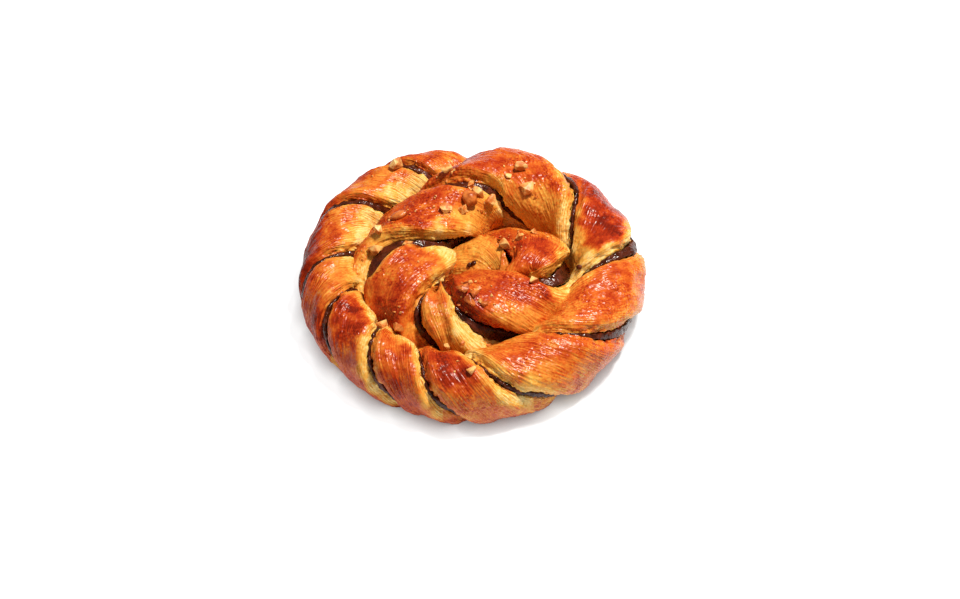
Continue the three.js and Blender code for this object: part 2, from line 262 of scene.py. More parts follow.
# %% Strand shape
SHOULDER = 0.06
OUTER_GROOVE = (0.15, 0.3)
INNER_GROOVE = (0.3, 0.45)
GROOVE_CHANGES = (10, 11.5)
GROOVE_ENDS = (15.4, 16)
RIBBON_THIN = 0.04
RIBBON_EDGE_OUTER = 0.12
RIBBON_EDGE_INNER = 0.17
RIBBON_FROM = 0.5
RIBBON_TO = 15.75
RIBBON_FADE = 0.25
# For each band from the tail inwards: how much thicker than usual the filling is, and how far it is
# squeezed out.
BAND_SWELL = [1, 2.0, 1.75, 1.4, 1.2, 0.8, 0.75, 0.8, 0.6, 1.8, 0.8, 1.4, 1.9, 0.75, 0.5, 1.6, 1.2]
BAND_BULGE = [0, 0.18, 0.2, 0.14, 0.13, 0.08, 0.02, 0, 0, 0.14, 0.04, 0.05, 0.1, 0.05, 0, 0.05, 0]
TOP_BULGE = 0.35
OUTSIDE_SWELL = 0.5
LIP_SHARPNESS = 8
END_ROUNDING = 0.5
END_SIZE = 0.12
SECTION_COUNT = 880
BACK_POINTS = 97
INSIDE_POINTS = 14


def blend_inner(turns, outer, inner):
    return outer + (inner - outer) * smoothstep(turns, *GROOVE_CHANGES)


def end_scale(turns, first=0.0, last=LAST_TURN, rounding=END_ROUNDING, smallest=END_SIZE):
    left = np.clip(np.minimum(turns - first, last - turns) / rounding, 0, 1)
    return smallest + (1 - smallest) * np.sqrt(1 - (1 - left) ** 2)


def ribbon_edge(turns):
    """Half thickness of the ribbon at its edges. It fades out where the strands are pinched together."""
    present = smoothstep(turns, RIBBON_FROM - RIBBON_FADE, RIBBON_FROM)
    present = present * (1 - smoothstep(turns, RIBBON_TO, RIBBON_TO + RIBBON_FADE))
    swell = np.interp(turns, np.arange(len(BAND_SWELL)), BAND_SWELL)
    return blend_inner(turns, RIBBON_EDGE_OUTER, RIBBON_EDGE_INNER) * present * swell


def outside_swell(sections, along):
    """The filling is thicker where a band runs down the outside of the coil."""
    return 1 + OUTSIDE_SWELL * np.clip(np.sign(along) * np.sin(sections.twist), 0, 1)


def dough_reach(turns, angle):
    """How far the dough reaches at an angle from the middle of a strand's back."""
    flank = np.abs(angle)
    depth = blend_inner(turns, OUTER_GROOVE[0], INNER_GROOVE[0])
    spread = blend_inner(turns, OUTER_GROOVE[1], INNER_GROOVE[1])
    depth = depth * (1 - smoothstep(turns, *GROOVE_ENDS))
    groove = depth * np.exp(-(((math.pi / 2 - flank) / spread) ** 2))
    return 1 + SHOULDER * np.sin(2 * flank) ** 2 - groove


def grid_normals(points):
    """Unit normals of a grid whose rows are closed rings."""
    around = np.roll(points, -1, axis=1) - np.roll(points, 1, axis=1)
    forward = np.gradient(points, axis=0)
    normals = np.cross(around, forward)
    return normals / np.maximum(np.linalg.norm(normals, axis=2), 1e-9)[..., None]


# %% Relief of the crust
LUMP_HEIGHT = 0.6
LUMP_SIZE = 8.0
DENT_HEIGHT = 0.28
DENT_SIZE = 3.0
PIMPLE_HEIGHT = 0.10
PIMPLE_SIZE = 1.4
LAYER_PITCH = 1.15
LAYER_BEND = 2.2
LAYER_FORK = 0.9
LAYER_RISE = 0.8
LAYER_HEIGHT = 0.42
LAYER_BROWNING = 0.54
STREAK_HEIGHT = 0.16
STREAK_SIZE = (1.1, 5.0)
BLISTER_PITCH = 1.5
BLISTER_HEIGHT = 0.26
BLISTER_SIZE = (0.25, 0.35)
EDGE_HEIGHT = 0.8
EDGE_SIZE = 2.0
EDGE_FROM = (0.72, 0.95)
RAW_DOUGH = 0.25
BROWN_DOUGH = 0.45
STRIPED_REACH = 0.3
LEAST_STRIPES = 0.15


def layer_steps(arc, travelled, seed):
    """A saw-tooth across the strand, bent by noise, as the edges of the dough's layers overlap."""
    place = np.stack([arc, travelled, 0 * arc], axis=-1)
    bend = smooth_noise(place * [0.4, 1, 1], 8.0, seed)
    fork = smooth_noise(place * [1, 0.6, 1], 2.2, seed + 20)
    phase = np.abs(arc) / LAYER_PITCH + LAYER_BEND * bend + LAYER_FORK * fork
    tooth = phase - np.floor(phase)
    return np.minimum(tooth / LAYER_RISE, (1 - tooth) / (1 - LAYER_RISE))


def blister_field(points, seed):
    """Round bumps at scattered places, each with a size of its own."""
    flat = (points / BLISTER_PITCH).reshape(-1, 3).tolist()
    heights = []
    for point in flat:
        distances, centres = noise.voronoi(Vector(point) + Vector((seed, seed, seed)))
        size = BLISTER_SIZE[0] + BLISTER_SIZE[1] * abs(noise.cell(centres[0] * 7.7))
        heights.append(max(0.0, 1 - (distances[0] / size) ** 2))
    return np.array(heights).reshape(points.shape[:-1])


def lobe_brown(points, turns, side, angle, level):
    """How brown the oven has made each lobe, from its five values, with edges that wander."""
    wander = 0.25 * smooth_noise(points, 5.0, 3) + 0.12 * smooth_noise(points, 1.8, 15)
    flank = angle / (math.pi / 2)
    middle = lobe_values(MIDDLE_BROWN, turns, side)
    brown = middle
    for column, nearness, start, end in (
        (BEFORE_BROWN, flank, 0.35, 0.9),
        (AFTER_BROWN, -flank, 0.35, 0.9),
        (INSIDE_BROWN, -level, 0.15, 0.8),
        (OUTSIDE_BROWN, level, 0.3, 0.9),
    ):
        share = smoothstep(nearness + wander, start, end)
        brown = brown + (lobe_values(column, turns, side) - middle) * share
    return np.clip(brown, 0.05, 1)


def crust_relief(points, turns, side, angle, arc, travelled, brown):
    """Height of the relief in millimetres, where layers are open, where blisters are, and added browning."""
    flank = np.abs(angle) / (math.pi / 2)
    stripes = lobe_values(STRIPES, turns, side)
    blistered = lobe_values(BLISTERS, turns, side)
    closed = smoothstep(brown, RAW_DOUGH, BROWN_DOUGH + STRIPED_REACH * stripes)
    opened = (1 - closed) * (LEAST_STRIPES + (1 - LEAST_STRIPES) * stripes)
    broken = smoothstep(smooth_noise(points, 4.5, 16) + 0.5 * smooth_noise(points, 1.6, 17), -0.3, 0.35)
    layered = np.minimum(opened + 0.45 * stripes, 1) * (LEAST_STRIPES + (1 - LEAST_STRIPES) * broken)
    steps = layer_steps(arc, travelled, 4) - 0.5
    streak_place = np.stack([arc / STREAK_SIZE[0], travelled / STREAK_SIZE[1], 0 * arc + side], axis=-1)
    streaks = smooth_noise(streak_place, 1.0, 5)
    patches = smoothstep(smooth_noise(points, 6.0, 9), -0.1, 0.3)
    relief = LUMP_HEIGHT * smooth_noise(points, LUMP_SIZE, 1)
    relief = relief + DENT_HEIGHT * smooth_noise(points, DENT_SIZE, 2)
    relief = relief + PIMPLE_HEIGHT * smooth_noise(points, PIMPLE_SIZE, 14)
    relief = relief + LAYER_HEIGHT * steps * layered
    relief = relief + STREAK_HEIGHT * streaks * (0.25 + 0.75 * stripes)
    blistered = blistered * patches * (1 - opened)
    relief = relief + BLISTER_HEIGHT * blister_field(points, 6) * blistered
    ragged = smooth_noise(points, EDGE_SIZE, 12) + 0.6 * smooth_noise(points, EDGE_SIZE / 2, 13)
    relief = relief + EDGE_HEIGHT * ragged * smoothstep(flank, *EDGE_FROM)
    return relief, opened, blistered, LAYER_BROWNING * steps * layered


# %% [markdown]
# ## Browning
# Egg-glazed dough browns with height and with how openly it faces the oven's air. The value runs from 0,
# raw cream, to 1, almost burnt, and the material turns it into a colour. It could be a shader formula of
# the position, but the strand's own coordinates are known here and not in the shader, so it is worked out
# once and stored on the vertices.

# %% Browning
TRAY_HEIGHT = 2.5
TRAY_BROWN = 0.62
RIM_HEIGHT = 9.0
RIM_BROWN = 0.06
LARGE_PATCH = (9.0, 0.20)
SMALL_PATCH = (3.0, 0.24)


def browning(points, brown, level):
    """Adds patches of all sizes, the darker lower rim and the evenly browned underside."""
    patch = smooth_noise(points, LARGE_PATCH[0], 7) * LARGE_PATCH[1]
    patch = patch + smooth_noise(points, SMALL_PATCH[0], 8) * SMALL_PATCH[1]
    low = 1 - smoothstep(points[..., 2], 1.5, RIM_HEIGHT)
    brown = 0.03 + 1.1 * brown + patch * (0.4 + 0.6 * brown)
    brown = brown + RIM_BROWN * low * smoothstep(level, 0.3, 0.9)
    tray = 1 - smoothstep(points[..., 2], 0.2, TRAY_HEIGHT)
    return np.clip(brown * (1 - tray) + TRAY_BROWN * tray, 0, 1)


# %% Mesh from a grid
def ring_mesh(name, points, values):
    """A closed mesh from rings of points in millimetres, with the given values stored on its vertices."""
    rings, count, _ = points.shape
    corners = np.concatenate([points.reshape(-1, 3), points[:1].mean(axis=1), points[-1:].mean(axis=1)])
    s, k = np.meshgrid(np.arange(rings - 1), np.arange(count), indexing="ij")
    after = (k + 1) % count
    near = s * count
    far = near + count
    quads = np.stack([near + k, near + after, far + after, far + k], axis=-1)
    start = rings * count
    last = (rings - 1) * count
    caps = [(start, (j + 1) % count, j) for j in range(count)]
    caps += [(start + 1, last + j, last + (j + 1) % count) for j in range(count)]
    mesh = bpy.data.meshes.new(name)
    mesh.from_pydata((corners * MM).tolist(), [], quads.reshape(-1, 4).tolist() + caps)
    mesh.shade_smooth()
    for key, grid in values.items():
        width = grid.shape[2] if grid.ndim == 3 else 1
        flat = grid.reshape(-1, width)
        flat = np.concatenate([flat, flat[:1], flat[-1:]]).astype(np.float32)
        kind = "FLOAT_VECTOR" if width == 3 else "FLOAT"
        field = "vector" if width == 3 else "value"
        mesh.attributes.new(key, kind, "POINT").data.foreach_set(field, flat.ravel())
    made = bpy.data.objects.new(name, mesh)
    bpy.context.scene.collection.objects.link(made)
    return made


# %% Strands
def strand(name, side):
    turns = np.linspace(0, LAST_TURN, SECTION_COUNT)
    sections = Sections(turns)
    column = turns[:, None]
    scale = end_scale(column)
    angle = np.linspace(-math.pi / 2, math.pi / 2, BACK_POINTS)[None, :]
    reach = dough_reach(column, angle)
    along = -side * reach * np.sin(angle)
    lip = ribbon_edge(column) * outside_swell(sections, along)
    across = side * (reach * np.cos(angle) + lip * np.abs(np.sin(angle)) ** LIP_SHARPNESS)
    inner = np.linspace(-1, 1, INSIDE_POINTS + 2)[None, 1:-1]
    inner_along = -side * dough_reach(column, math.pi / 2) * -inner
    lip = ribbon_edge(column) * outside_swell(sections, inner_along)
    thin = np.minimum(RIBBON_THIN, lip)
    inner_across = side * (thin + (lip - thin) * inner**2)
    along = np.concatenate([along, inner_along], axis=1) * scale
    across = np.concatenate([across, inner_across], axis=1) * scale
    points = sections.place(along, across)
    level, _ = sections.across_rope(along, across)
    angle = np.concatenate([angle + 0 * column, inner * -math.pi / 2 + 0 * column], axis=1)
    is_back = np.arange(points.shape[1])[None, :] < BACK_POINTS
    size = (sections.half_width + sections.half_height) / 2
    arc = angle * size
    travelled = sections.travelled + 0 * arc
    brown = lobe_brown(points, column, side, angle, level)
    relief, opened, blistered, browner = crust_relief(points, column, side, angle, arc, travelled, brown)
    relief = np.where(is_back, relief, 0) * scale
    points = points + grid_normals(points) * relief[..., None]
    points[..., 2] = np.maximum(points[..., 2], 0)
    brown = browning(points, brown, level) + browner
    grain = np.stack([arc, travelled, 0 * arc + 10 * side], axis=-1)
    stripes = np.clip(opened + 0.4 * lobe_values(STRIPES, column, side) + 0 * arc, 0, 1)
    values = {"browning": brown, "opened": stripes, "blistered": blistered, "grain": grain}
    return ring_mesh(name, points, values)


strands = [strand("strand_a", -1), strand("strand_b", 1)]
for piece in strands:
    print(piece.name, len(piece.data.polygons), "faces")

# %% [markdown]
# ## The filling
# Baked chocolate filling is dry at its edge and glossy where it has bubbled. It is a ribbon between the
# strands, a little thicker at its two edges, and those edges are all that shows. Its outline wanders and
# its skin is lumpy.

# %% Filling
RIBBON_SECTIONS = 1100
RIBBON_POINTS = 48
RIBBON_CORNERS = 0.4
RIBBON_ENDS = 0.1
RIBBON_FIT = 1.05
EDGE_WANDER = 0.05
LUMPS = 0.5
LEAST_HEIGHT = 0.3


def filling(name):
    turns = np.linspace(RIBBON_FROM, RIBBON_TO, RIBBON_SECTIONS)
    sections = Sections(turns)
    column = turns[:, None]
    scale = end_scale(column, RIBBON_FROM, RIBBON_TO, RIBBON_ENDS)
    around = np.linspace(0, 2 * math.pi, RIBBON_POINTS, endpoint=False)[None, :]
    reach = dough_reach(column, math.pi / 2)
    along = np.sign(np.cos(around)) * np.abs(np.cos(around)) ** RIBBON_CORNERS * reach
    outside = outside_swell(sections, along)
    bulge = np.interp(column, np.arange(len(BAND_BULGE)), BAND_BULGE)
    bulge = bulge * (TOP_BULGE + (1 - TOP_BULGE) * (outside - 1) / OUTSIDE_SWELL)
    edge = ribbon_edge(np.clip(column, RIBBON_FROM + 0.01, RIBBON_TO - 0.01)) * outside * RIBBON_FIT
    thickness = RIBBON_THIN + (edge - RIBBON_THIN) * np.abs(along / reach) ** 3
    across = np.sign(np.sin(around)) * np.abs(np.sin(around)) ** RIBBON_CORNERS * thickness
    points = sections.place(along * scale, across * scale)
    travelled = sections.travelled + 0 * around
    wander = smooth_noise(points, 4.0, 21) * 0.5 + smooth_noise(points, 1.6, 22) * 0.35
    points = sections.place(along * scale * (1 + EDGE_WANDER * wander + bulge), across * scale)
    bumps = smooth_noise(points, 1.3, 23) + 0.6 * smooth_noise(points, 0.7, 24)
    points = points + grid_normals(points) * (LUMPS * bumps)[..., None]
    points[..., 2] = np.maximum(points[..., 2], LEAST_HEIGHT)
    grain = np.stack([along + 0 * travelled, travelled, 0 * along], axis=-1)
    return ring_mesh(name, points, {"grain": grain})


ribbon = filling("filling")
print(ribbon.name, len(ribbon.data.polygons), "faces")

# %% [markdown]
# ## The underside
# On the tray the turns of the coil grow together. A low uneven cake of dough closes the gaps between them,
# so that no light shows through from below.

# %% Heart of the knot
HEART_RADIUS = 38.0
HEART_HEIGHT = 8.0
HEART_RINGS = 40
HEART_SIDES = 120
HEART_UNEVEN = 0.08
HEART_BROWN = 0.45


def heart(name):
    part = np.linspace(0, 1, HEART_RINGS)
    radius = np.concatenate([np.linspace(0.02, 1, HEART_RINGS), np.sqrt(1 - part[1:] ** 2) + 0.02])
    height = np.concatenate([0 * part, part[1:]])
    turn = np.linspace(0, 2 * math.pi, HEART_SIDES, endpoint=False)
    points = np.stack([
        HEART_RADIUS * radius[:, None] * np.cos(turn)[None, :] - MIDDLE[0],
        HEART_RADIUS * radius[:, None] * np.sin(turn)[None, :] - MIDDLE[1],
        HEART_HEIGHT * height[:, None] + 0 * turn[None, :],
    ], axis=-1)
    uneven = 1 + HEART_UNEVEN * smooth_noise(points, 12.0, 31)
    points = points * np.where(height[:, None] > 0, uneven, 1)[..., None]
    grey = 0 * points[..., 0]
    values = {"browning": grey + HEART_BROWN, "opened": grey, "blistered": grey, "grain": points}
    return ring_mesh(name, points, values)


core = heart("heart")
print(core.name, len(core.data.polygons), "faces")

# %% [markdown]
# ## Chopped hazelnuts
# A knife breaks a hazelnut into angular chips with flat faces and sharp edges. The convex hull of a few
# random points has just those faces, and a small bevel takes the edge off. A chip is dropped straight down
# onto the crust with a ray and leans the way the crust does, so from every side it sits on the dough.

# %% Hazelnuts
# Columns: place from above, length, width, height and heading.
NUTS = [
    (-26.0, 41.0, 5.2, 4.2, 4.6, 20),
    (-8.5, 36.0, 4.0, 3.6, 3.0, 0),
    (-2.0, 28.0, 3.2, 2.8, 4.4, 40),
    (0.8, 25.6, 5.6, 3.0, 3.2, 150),
    (4.4, 24.6, 4.0, 3.4, 3.4, 60),
    (-9.6, 17.4, 4.0, 3.6, 3.0, 30),
    (-4.3, 18.6, 3.2, 3.0, 2.8, 80),
    (-30.2, 9.4, 3.2, 3.4, 3.6, 50),
    (-32.3, 5.0, 4.4, 4.6, 4.2, 70),
    (-25.2, 3.4, 4.4, 3.4, 2.4, 25),
    (-21.2, 2.6, 4.6, 3.2, 2.2, 160),
    (-28.4, -25.1, 4.0, 3.8, 3.4, 45),
    (-23.5, -26.2, 4.4, 3.8, 3.6, 15),
    (14.8, 35.1, 3.6, 4.4, 3.2, 75),
    (17.1, 28.2, 4.8, 4.2, 2.6, 20),
    (9.7, 4.0, 4.2, 3.8, 3.6, 120),
    (14.2, 4.8, 2.8, 2.6, 2.2, 0),
    (19.0, 10.3, 3.4, 2.8, 2.2, 35),
    (-1.1, -47.2, 3.2, 2.8, 2.0, 60),
    (18.3, -13.3, 3.4, 2.6, 2.0, 10),
]
HALVES = [
    (-2.2, 22.8, 5.6, 5.0, 4.4, 110),
    (-24.0, 14.6, 5.8, 3.6, 2.6, 10),
]
GLAZED = [
    (-3.2, -17.4, 4.4, 3.4, 3.0, 140),
    (-2.6, -14.6, 2.8, 2.4, 1.8, 60),
    (0.3, -19.4, 3.8, 3.0, 2.0, 20),
    (-1.4, -21.6, 4.4, 3.2, 2.2, 100),
    (3.2, -22.6, 2.8, 2.2, 1.6, 20),
    (-22.6, 15.6, 2.6, 2.2, 1.4, 60),
]
SUNK = 0.2
CHIP_POINTS = 11
CHIP_BEVEL = 0.16
HALF_LUMPS = 0.16
HALF_WRINKLES = 0.05
NUT_SEED = 11


def strand_tree():
    """Both strands as one tree of triangles, for dropping things onto."""
    corners = []
    faces = []
    for piece in strands:
        start = len(corners)
        corners += [v.co.copy() for v in piece.data.vertices]
        faces += [[start + i for i in p.vertices] for p in piece.data.polygons]
    return BVHTree.FromPolygons(corners, faces)


crust_tree = strand_tree()


def drop(x, y):
    """Where something dropped from above a compass place meets the crust, and how the crust leans there."""
    start = Vector(((x - MIDDLE[0]) * MM, (y - MIDDLE[1]) * MM, 0.1))
    place, normal, _, _ = crust_tree.ray_cast(start, Vector((0, 0, -1)))
    return place, normal


def settle(shape, row):
    """Scales a unit shape to a row's size in millimetres and sets it on the crust."""
    x, y, length, width, height, heading = row
    place, normal = drop(x, y)
    size = Matrix.Diagonal((length / 2 * MM, width / 2 * MM, height / 2 * MM, 1))
    turned = Matrix.Rotation(math.radians(heading), 4, "Z")
    lean = Vector((0, 0, 1)).rotation_difference(normal).to_matrix().to_4x4()
    raised = Matrix.Translation(place + normal * (height * (0.5 - SUNK) * MM))
    shape.transform(raised @ lean @ turned @ size)


def fill_unit_box(shape):
    """Moves and scales a shape so that it reaches from -1 to 1 each way."""
    low = Vector([min(v.co[k] for v in shape.verts) for k in range(3)])
    high = Vector([max(v.co[k] for v in shape.verts) for k in range(3)])
    for vertex in shape.verts:
        vertex.co = Vector([2 * (vertex.co[k] - low[k]) / (high[k] - low[k]) - 1 for k in range(3)])


def chip(rng):
    shape = bmesh.new()
    for _ in range(CHIP_POINTS):
        direction = Vector((rng.gauss(0, 1), rng.gauss(0, 1), rng.gauss(0, 1))).normalized()
        shape.verts.new(direction * rng.uniform(0.85, 1.15))
    hull = bmesh.ops.convex_hull(shape, input=shape.verts)
    left_over = hull["geom_unused"] + hull["geom_interior"]
    unused = {v for v in left_over if isinstance(v, bmesh.types.BMVert)}
    bmesh.ops.delete(shape, geom=list(unused), context="VERTS")
    fill_unit_box(shape)
    bmesh.ops.bevel(
        shape,
        geom=shape.edges[:],
        offset=CHIP_BEVEL,
        segments=2,
        profile=0.6,
        affect="EDGES",
        clamp_overlap=True,
    )
    bmesh.ops.triangulate(shape, faces=shape.faces[:])
    bmesh.ops.subdivide_edges(shape, edges=shape.edges[:], cuts=1, use_grid_fill=True)
    return shape


def half_nut(rng):
    shape = bmesh.new()
    bmesh.ops.create_icosphere(shape, subdivisions=4, radius=1)
    shift = Vector((rng.uniform(0, 50), rng.uniform(0, 50), rng.uniform(0, 50)))
    for vertex in shape.verts:
        lump = HALF_LUMPS * noise.noise(vertex.co * 1.3 + shift)
        wrinkle = HALF_WRINKLES * noise.noise(vertex.co * 4 + shift)
        vertex.co *= 1 + lump + wrinkle
    return shape


def joined_pieces(name, shapes):
    """One mesh from many small ones."""
    whole = bpy.data.meshes.new(name)
    gathered = bmesh.new()
    for shape in shapes:
        part = bpy.data.meshes.new("part")
        shape.to_mesh(part)
        shape.free()
        gathered.from_mesh(part)
        bpy.data.meshes.remove(part)
    gathered.to_mesh(whole)
    gathered.free()
    made = bpy.data.objects.new(name, whole)
    bpy.context.scene.collection.objects.link(made)
    return made


def settled(rows, make, rng):
    shapes = []
    for row in rows:
        shape = make(rng)
        settle(shape, row)
        shapes.append(shape)
    return shapes


nut_rng = random.Random(NUT_SEED)
nuts = joined_pieces("hazelnuts", settled(NUTS, chip, nut_rng))
halves = joined_pieces(
    "hazelnut_halves", settled(HALVES, half_nut, nut_rng) + settled(GLAZED, chip, nut_rng)
)
halves.data.shade_smooth()
print(nuts.name, len(nuts.data.polygons), "faces;", halves.name, len(halves.data.polygons), "faces")

# %% [markdown]
# ## Crumbs and beads
# Small things tell the eye how big the pastry is: nut dust, flakes, and beads of filling that boiled out.

# %% Crumbs
CRUMBS = [
    (10.8, 32.4, 2.5, 2.2, 1.8, 0),
    (-1.5, -13.3, 1.6, 1.4, 1.2, 0),
    (0.8, -17.0, 2.2, 1.8, 1.4, 30),
    (1.6, -21.6, 1.8, 1.5, 1.2, 80),
    (-9.0, -32.5, 2.5, 2.0, 1.6, 10),
    (-4.1, -33.0, 2.4, 1.8, 1.6, 70),
    (4.2, -29.4, 2.5, 1.9, 1.5, 20),
]
BEADS = [
    (33.1, -2.6, 1.9, 1.6, 1.4, 0),
    (-0.3, 1.4, 1.9, 1.5, 1.2, 20),
    (-1.6, 1.2, 1.6, 1.5, 1.2, 60),
]
DUST_COUNT = 120
DUST_SPREAD = 3.5
DUST_SIZE = (0.4, 1.0)


def dust_rows(rng):
    """Nut dust lies thickest round the larger chips."""
    rows = []
    while len(rows) < DUST_COUNT:
        x, y, *_ = rng.choice(NUTS + GLAZED)
        x += rng.gauss(0, DUST_SPREAD)
        y += rng.gauss(0, DUST_SPREAD)
        size = rng.uniform(*DUST_SIZE)
        if drop(x, y)[0] is not None:
            rows.append((x, y, size * 1.3, size, size * 0.9, rng.uniform(0, 180)))
    return rows


crumbs = joined_pieces("nut_crumbs", settled(CRUMBS + dust_rows(nut_rng), chip, nut_rng))
beads = joined_pieces("filling_beads", settled(BEADS, half_nut, nut_rng))
beads.data.shade_smooth()
print(crumbs.name, len(crumbs.data.polygons), "faces;", beads.name, len(beads.data.polygons), "faces")

# %% [markdown]
# ## Shader maths as Python
# A node tree is easier to read as a formula. This small class wraps a socket, so that brown + 0.3 * streaks
# adds the Math nodes by itself. Every other node comes from one method.

# %% Signals
class Signal:
    """An output socket of a node tree that can stand in a Python expression."""

    def __init__(self, tree, socket=None):
        self.tree = tree
        self.socket = socket

    def node(self, kind, settings=None, inputs=None, output=0):
        """Adds a node, sets it up, and then fills its sockets with numbers, colours or signals."""
        made = self.tree.nodes.new(kind)
        for name, value in (settings or {}).items():
            if name == "stops":
                set_stops(made.color_ramp, value)
            else:
                setattr(made, name, value)
        for key, value in (inputs or {}).items():
            if isinstance(value, Signal):
                self.tree.links.new(value.socket, made.inputs[key])
            else:
                made.inputs[key].default_value = value
        return Signal(self.tree, made.outputs[output])

    def math(self, operation, first, second):
        return self.node("ShaderNodeMath", {"operation": operation}, {0: first, 1: second})

    def __add__(self, other):
        return self.math("ADD", self, other)

    def __radd__(self, other):
        return self.math("ADD", other, self)

    def __sub__(self, other):
        return self.math("SUBTRACT", self, other)

    def __rsub__(self, other):
        return self.math("SUBTRACT", other, self)

    def __mul__(self, other):
        return self.math("MULTIPLY", self, other)

    def __rmul__(self, other):
        return self.math("MULTIPLY", other, self)


def set_stops(ramp, stops):
    while len(ramp.elements) < len(stops):
        ramp.elements.new(1)
    for element, (position, colour) in zip(ramp.elements, stops):
        element.position = position
        element.color = colour


def linear(red, green, blue):
    """A colour given as 0 to 255, as the shader wants it."""
    parts = [c / 255 for c in (red, green, blue)]
    return (*[p / 12.92 if p <= 0.04045 else ((p + 0.055) / 1.055) ** 2.4 for p in parts], 1.0)


def new_material(name):
    """A material with its shader, and a signal to start expressions from."""
    material = bpy.data.materials.new(name)
    material.use_nodes = True
    tree = material.node_tree
    shader = tree.nodes["Principled BSDF"]
    return material, shader, Signal(tree)


def connect(signal, socket):
    signal.tree.links.new(signal.socket, socket)


def noise_at(start, vector, scale, detail=2.0, roughness=0.5):
    inputs = {"Vector": vector, "Scale": scale, "Detail": detail, "Roughness": roughness}
    return start.node("ShaderNodeTexNoise", {}, inputs)


def remap(start, value, low, high):
    """0 at low, 1 at high, smooth between."""
    inputs = {"Value": value, "From Min": low, "From Max": high}
    return start.node("ShaderNodeMapRange", {"interpolation_type": "SMOOTHSTEP"}, inputs)


# %% [markdown]
# ## Crust
# Baked, glazed dough is three things at once: a warm base whose colour follows the browning, fine stripes
# where the layers end with painted shade in the cracks between them, and an egg glaze that makes the brown
# parts smoother. A colour ramp turns the one browning value into a colour, because dough always passes
# through the same colours as it bakes.
# The glaze could be a second, clear layer of the shader, but here it is thin enough for a lower roughness
# alone.

# %% Crust material
BAKED = [
    (0.00, linear(244, 212, 138)),
    (0.20, linear(234, 172, 72)),
    (0.40, linear(219, 135, 50)),
    (0.60, linear(203, 90, 26)),
    (0.80, linear(168, 46, 9)),
    (1.00, linear(112, 22, 2)),
]
# Scales of the noises over the surface, in waves for each metre, and along the layers, for each millimetre.
MOTTLE_SCALE = 420.0
GRIT_SCALE = 1400.0
PIMPLE_SCALE = 950.0
LINE_SCALE = 1.5
RIPPLE_SCALE = 1.1
ALONG_LAYERS = (1.0, 0.28, 1.0)
BUMP_DISTANCE = 0.0003


def crust_material():
    material, shader, start = new_material("crust")
    brown = start.node("ShaderNodeAttribute", {"attribute_name": "browning"}, output=2)
    opened = start.node("ShaderNodeAttribute", {"attribute_name": "opened"}, output=2)
    blistered = start.node("ShaderNodeAttribute", {"attribute_name": "blistered"}, output=2)
    grain = start.node("ShaderNodeAttribute", {"attribute_name": "grain"}, output=1)
    place = start.node("ShaderNodeTexCoord", output=3)
    stretched = start.node(
        "ShaderNodeVectorMath", {"operation": "MULTIPLY"}, {0: grain, 1: ALONG_LAYERS}
    )
    lines = noise_at(start, stretched, LINE_SCALE, 3.0, 0.6)
    mottle = noise_at(start, place, MOTTLE_SCALE, 4.0, 0.6)
    grit = noise_at(start, place, GRIT_SCALE, 2.0, 0.5)
    threads = remap(start, lines, 0.55, 0.7)
    # Painted shade: thin darker lines along the layers stand in for the shade in the cracks between them.
    crevice_shade = remap(start, lines, 0.46, 0.32)
    browning_and_shade = brown + (lines - 0.5) * (0.2 + opened * 0.3) - threads * mottle * (0.1 + opened * 0.3)
    browning_and_shade = browning_and_shade + (mottle - 0.5) * 0.5 + (grit - 0.5) * (0.3 + blistered * 0.6)
    browning_and_shade = browning_and_shade + crevice_shade * (0.06 + opened * 0.2)
    colour = start.node("ShaderNodeValToRGB", {"stops": BAKED}, {"Fac": browning_and_shade})
    connect(colour, shader.inputs["Base Color"])
    glazed = remap(start, brown + (mottle - 0.5) * 0.5, 0.15, 0.5)
    connect(0.42 - glazed * 0.16, shader.inputs["Roughness"])
    shader.inputs["Specular IOR Level"].default_value = 0.25
    shader.inputs["Specular Tint"].default_value = (1, 0.95, 0.9, 1)
    shader.inputs["Subsurface Weight"].default_value = 0.1
    shader.inputs["Subsurface Radius"].default_value = (1.0, 0.4, 0.15)
    shader.inputs["Subsurface Scale"].default_value = 0.0012
    ripples = noise_at(start, stretched, RIPPLE_SCALE, 0.0)
    pimples = noise_at(start, place, PIMPLE_SCALE, 0.0)
    height = ripples * 0.8 + pimples * (0.6 + blistered)
    bump = start.node("ShaderNodeBump", {}, {"Strength": 1.0, "Distance": BUMP_DISTANCE, "Height": height})
    connect(bump, shader.inputs["Normal"])
    return material


crust = crust_material()
print(crust.name, "has", len(crust.node_tree.nodes), "nodes")

# %% [markdown]
# ## Chocolate
# The filling is a very dark brown, dull where it dried and glossy where it bubbled. One noise sets both its
# colour and its roughness, so the paler, drier patches are also the duller ones, and finer noise gives it a
# grainy skin.

# %% Chocolate material
CHOCOLATE = [(0.3, linear(36, 11, 4)), (0.7, linear(98, 38, 16))]
CHOCOLATE_PATCHES = 420.0
CHOCOLATE_GRAIN = 1100.0


def chocolate_material():
    material, shader, start = new_material("chocolate")
    place = start.node("ShaderNodeTexCoord", output=3)
    patches = noise_at(start, place, CHOCOLATE_PATCHES, 3.0, 0.6)
    grit = noise_at(start, place, CHOCOLATE_GRAIN, 1.0, 0.5)
    colour = start.node("ShaderNodeValToRGB", {"stops": CHOCOLATE}, {"Fac": patches})
    connect(colour, shader.inputs["Base Color"])
    connect(0.12 + remap(start, patches, 0.35, 0.7) * 0.25, shader.inputs["Roughness"])
    shader.inputs["Specular IOR Level"].default_value = 0.3
    bump = start.node("ShaderNodeBump", {}, {"Strength": 1.0, "Distance": BUMP_DISTANCE, "Height": grit})
    connect(bump, shader.inputs["Normal"])
    return material


chocolate = chocolate_material()
print(chocolate.name, "has", len(chocolate.node_tree.nodes), "nodes")

# %% [markdown]
# ## Hazelnut
# The inside of a hazelnut is pale cream, and the oven turns its edges gold. Noise in three dimensions is
# enough for that, because the chips are small and are looked at as a group.

